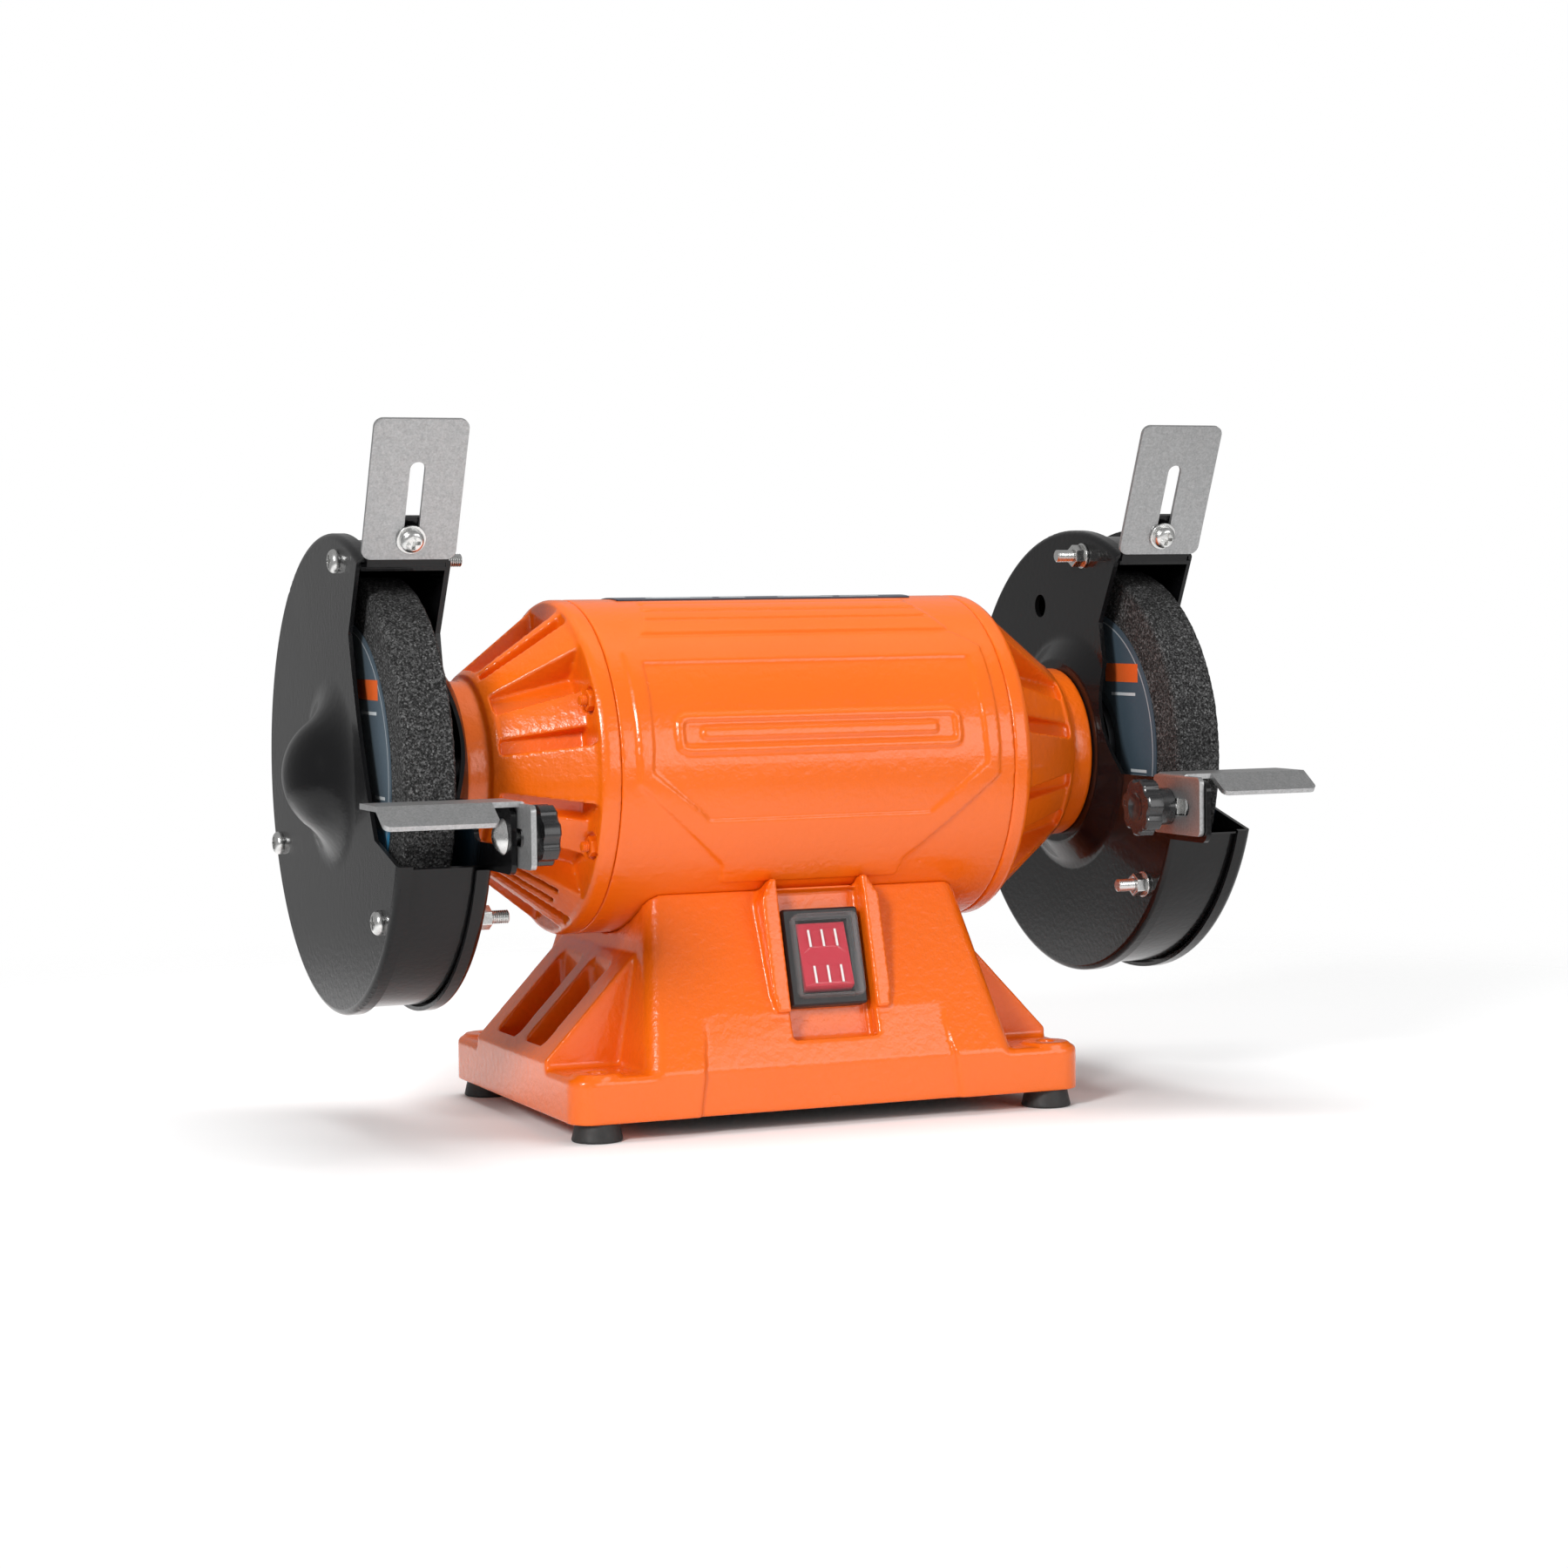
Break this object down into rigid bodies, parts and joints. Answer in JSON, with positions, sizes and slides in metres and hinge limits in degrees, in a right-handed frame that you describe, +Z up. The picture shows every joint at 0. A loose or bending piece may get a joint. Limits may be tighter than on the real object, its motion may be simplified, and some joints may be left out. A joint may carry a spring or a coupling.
{
  "type": "bench grinder",
  "caption": "Bench grinder with a cast motor on a splayed base, guarded grinding wheels on both shaft ends, sliding tool rests, spark deflectors and a covered rocker switch.",
  "frame": {"origin": "centre of the four foot bolts, on the bench surface under the rubber feet", "axes": "+X along the shaft to the operator's right, +Y away from the operator towards the back, +Z up"},
  "size_m": [0.3886, 0.22, 0.2685],
  "materials": {
    "casting_paint": "glossy orange enamel over a cast surface with slight orange peel",
    "guard_paint": "black semi-gloss powder coat with a fine texture",
    "zinc_sheet": "galvanised sheet steel with a fine spangle",
    "zinc_fastener": "bright zinc plated steel",
    "black_oxide": "blackened steel, slightly oiled",
    "abrasive": "vitrified grey aluminium oxide grain, coarse and matt",
    "label_paper": "matt printed card blotter, slate blue with a brighter band",
    "data_plate": "dark blue anodised foil with a satin sheen",
    "knob_plastic": "glossy black moulded phenolic",
    "foot_rubber": "matt black rubber",
    "switch_black": "black moulded plastic",
    "switch_red": "translucent crimson moulded plastic",
    "clear_cover": "clear flexible plastic with bright edges",
    "core_steel": "stacked electrical sheet steel",
    "copper": "enamelled copper winding wire",
    "cage_alloy": "die-cast aluminium",
    "ground_steel": "ground bearing and shaft steel",
    "plate_steel": "black painted sheet steel",
    "electrical_plastic": "off-white moulded nylon",
    "capacitor_can": "light grey plastic can"
  },
  "bodies": {
    "frame": {"base": "casting_paint", "motor_housing": "casting_paint", "end_bell_left": "casting_paint", "end_bell_right": "casting_paint", "tie_bolts": "casting_paint", "tie_nuts": "casting_paint", "bottom_plate": "plate_steel", "capacitor_clamp": "plate_steel", "bottom_plate_screws": "zinc_fastener", "base_screws": "zinc_fastener", "guard_screws": "zinc_fastener", "guard_nuts": "zinc_fastener", "guard_washers": "zinc_fastener", "guard_mount_screws": "zinc_fastener", "spark_screws": "zinc_fastener", "spark_washers": "zinc_fastener", "spark_nuts": "zinc_fastener", "rubber_feet": "foot_rubber", "data_plate": "data_plate", "stator_core": "core_steel", "stator_windings": "copper", "bearing_outer_races": "ground_steel", "wave_washer": "ground_steel", "switch_body": "switch_black", "cord_gland": "switch_black", "switch_cover": "clear_cover", "capacitor": "capacitor_can", "terminal_block": "electrical_plastic", "guard_inner_left": "guard_paint", "guard_band_left": "guard_paint", "guard_cover_left": "guard_paint", "guard_inner_right": "guard_paint", "guard_band_right": "guard_paint", "guard_cover_right": "guard_paint"},
    "rotor": {"shaft": "ground_steel", "rotor_core": "core_steel", "rotor_cage": "cage_alloy", "bearing_inner_races": "ground_steel", "bearing_balls": "ground_steel", "grinding_wheel_left": "abrasive", "wheel_labels_left": "label_paper", "wheel_flanges_left": "black_oxide", "shaft_nut_left": "zinc_fastener", "grinding_wheel_right": "abrasive", "wheel_labels_right": "label_paper", "wheel_flanges_right": "black_oxide", "shaft_nut_right": "zinc_fastener"},
    "switch_rocker": {"switch_rocker": "switch_red"},
    "rest_bolt_left": {"rest_bolt_left": "zinc_fastener"},
    "tool_rest_left": {"tool_rest_left": "zinc_sheet"},
    "rest_knob_left": {"rest_knob_left": "knob_plastic"},
    "spark_plate_left": {"spark_plate_left": "zinc_sheet"},
    "rest_bolt_right": {"rest_bolt_right": "zinc_fastener"},
    "tool_rest_right": {"tool_rest_right": "zinc_sheet"},
    "rest_knob_right": {"rest_knob_right": "knob_plastic"},
    "spark_plate_right": {"spark_plate_right": "zinc_sheet"}
  },
  "joints": [
    {"name": "rotor_spin", "type": "hinge", "parent": "frame", "child": "rotor", "pos_m": [0, 0, 0.1367], "axis": [1, 0, 0], "continuous": true},
    {"name": "switch_rock", "type": "hinge", "parent": "frame", "child": "switch_rocker", "pos_m": [0.0022, -0.05341, 0.06195], "axis": [1, 0, 0], "range_deg": [0, 14]},
    {"name": "rest_bolt_slide_left", "type": "slide", "parent": "frame", "child": "rest_bolt_left", "axis": [0, 1, 0], "range_m": [0, 0.012]},
    {"name": "tool_rest_slide_left", "type": "slide", "parent": "rest_bolt_left", "child": "tool_rest_left", "axis": [0, 1, 0], "range_m": [0, 0.005]},
    {"name": "rest_knob_turn_left", "type": "hinge", "parent": "rest_bolt_left", "child": "rest_knob_left", "pos_m": [-0.1305, -0.1035, 0.1182], "axis": [1, 0, 0], "continuous": true},
    {"name": "spark_plate_slide_left", "type": "slide", "parent": "frame", "child": "spark_plate_left", "axis": [0, 0.3939, -0.9191], "range_m": [0, 0.015]},
    {"name": "rest_bolt_slide_right", "type": "slide", "parent": "frame", "child": "rest_bolt_right", "axis": [0, 1, 0], "range_m": [-0.0165, 0]},
    {"name": "tool_rest_slide_right", "type": "slide", "parent": "rest_bolt_right", "child": "tool_rest_right", "axis": [0, 1, 0], "range_m": [0, 0.0025]},
    {"name": "rest_knob_turn_right", "type": "hinge", "parent": "rest_bolt_right", "child": "rest_knob_right", "pos_m": [0.1305, -0.087, 0.1182], "axis": [1, 0, 0], "continuous": true},
    {"name": "spark_plate_slide_right", "type": "slide", "parent": "frame", "child": "spark_plate_right", "axis": [0, 0.3939, -0.9191], "range_m": [0, 0.015]}
  ]
}
